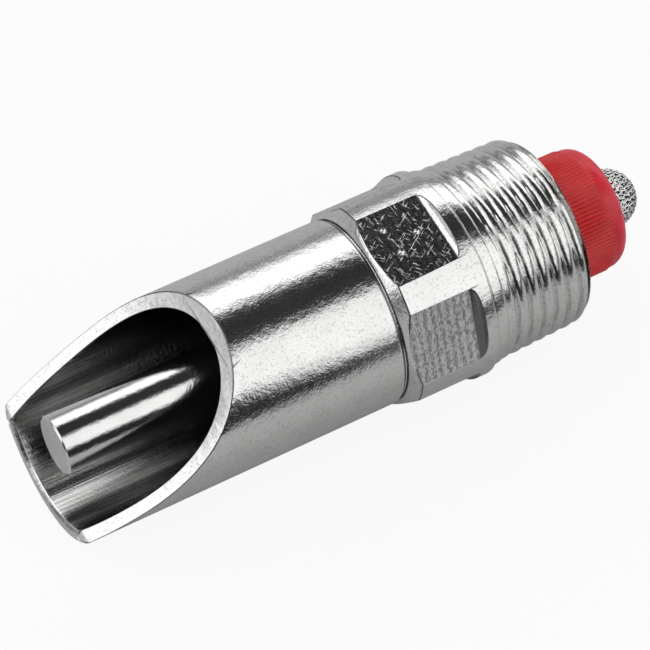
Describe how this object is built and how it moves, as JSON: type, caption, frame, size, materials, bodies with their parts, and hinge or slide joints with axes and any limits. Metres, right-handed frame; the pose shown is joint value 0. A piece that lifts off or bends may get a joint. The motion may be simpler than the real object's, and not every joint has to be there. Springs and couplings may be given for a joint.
{
  "type": "livestock bite nipple drinker",
  "caption": "Scooped steel drinking nipple for livestock with a sprung bite pin, wrench flats, a pipe thread and a red plastic inlet filter holder.",
  "frame": {"origin": "on the housing's axis, at the shoulder where the pipe thread begins", "axes": "+X along the axis towards the cup's mouth, +Z towards the middle of the scoop's opening"},
  "size_m": [0.0853, 0.028, 0.028],
  "materials": {
    "polished_steel": "bright turned and polished steel",
    "pin_steel": "polished steel rod",
    "seal_rubber": "smooth black rubber",
    "spring_steel": "drawn stainless wire",
    "red_plastic": "satin moulded red plastic",
    "strainer_wire": "woven stainless wire cloth"
  },
  "bodies": {
    "housing": {"housing": "polished_steel"},
    "spring_carrier": {"valve_spring": "spring_steel"},
    "seal": {"seal_washer": "seal_rubber"},
    "pin": {"bite_pin": "pin_steel"},
    "holder": {"filter_holder": "red_plastic", "strainer": "strainer_wire"}
  },
  "joints": [
    {"name": "pin_push", "type": "slide", "parent": "housing", "child": "spring_carrier", "axis": [-1, 0, 0], "range_m": [0, 0.002], "stiffness_N_per_m": 1500, "deforming": ["valve_spring"]},
    {"name": "pin_tilt_down", "type": "hinge", "parent": "spring_carrier", "child": "seal", "pos_m": [0.0094, 0, 0], "axis": [0, 1, 0], "range_deg": [-5.5, 5.5], "stiffness_Nm_per_rad": 1, "deforming": ["seal_washer"]},
    {"name": "pin_tilt_side", "type": "hinge", "parent": "seal", "child": "pin", "pos_m": [0.0094, 0, 0], "axis": [0, 0, 1], "range_deg": [-5.5, 5.5], "stiffness_Nm_per_rad": 1},
    {"name": "holder_pull", "type": "slide", "parent": "housing", "child": "holder", "axis": [-1, 0, 0], "range_m": [0, 0.012]}
  ]
}
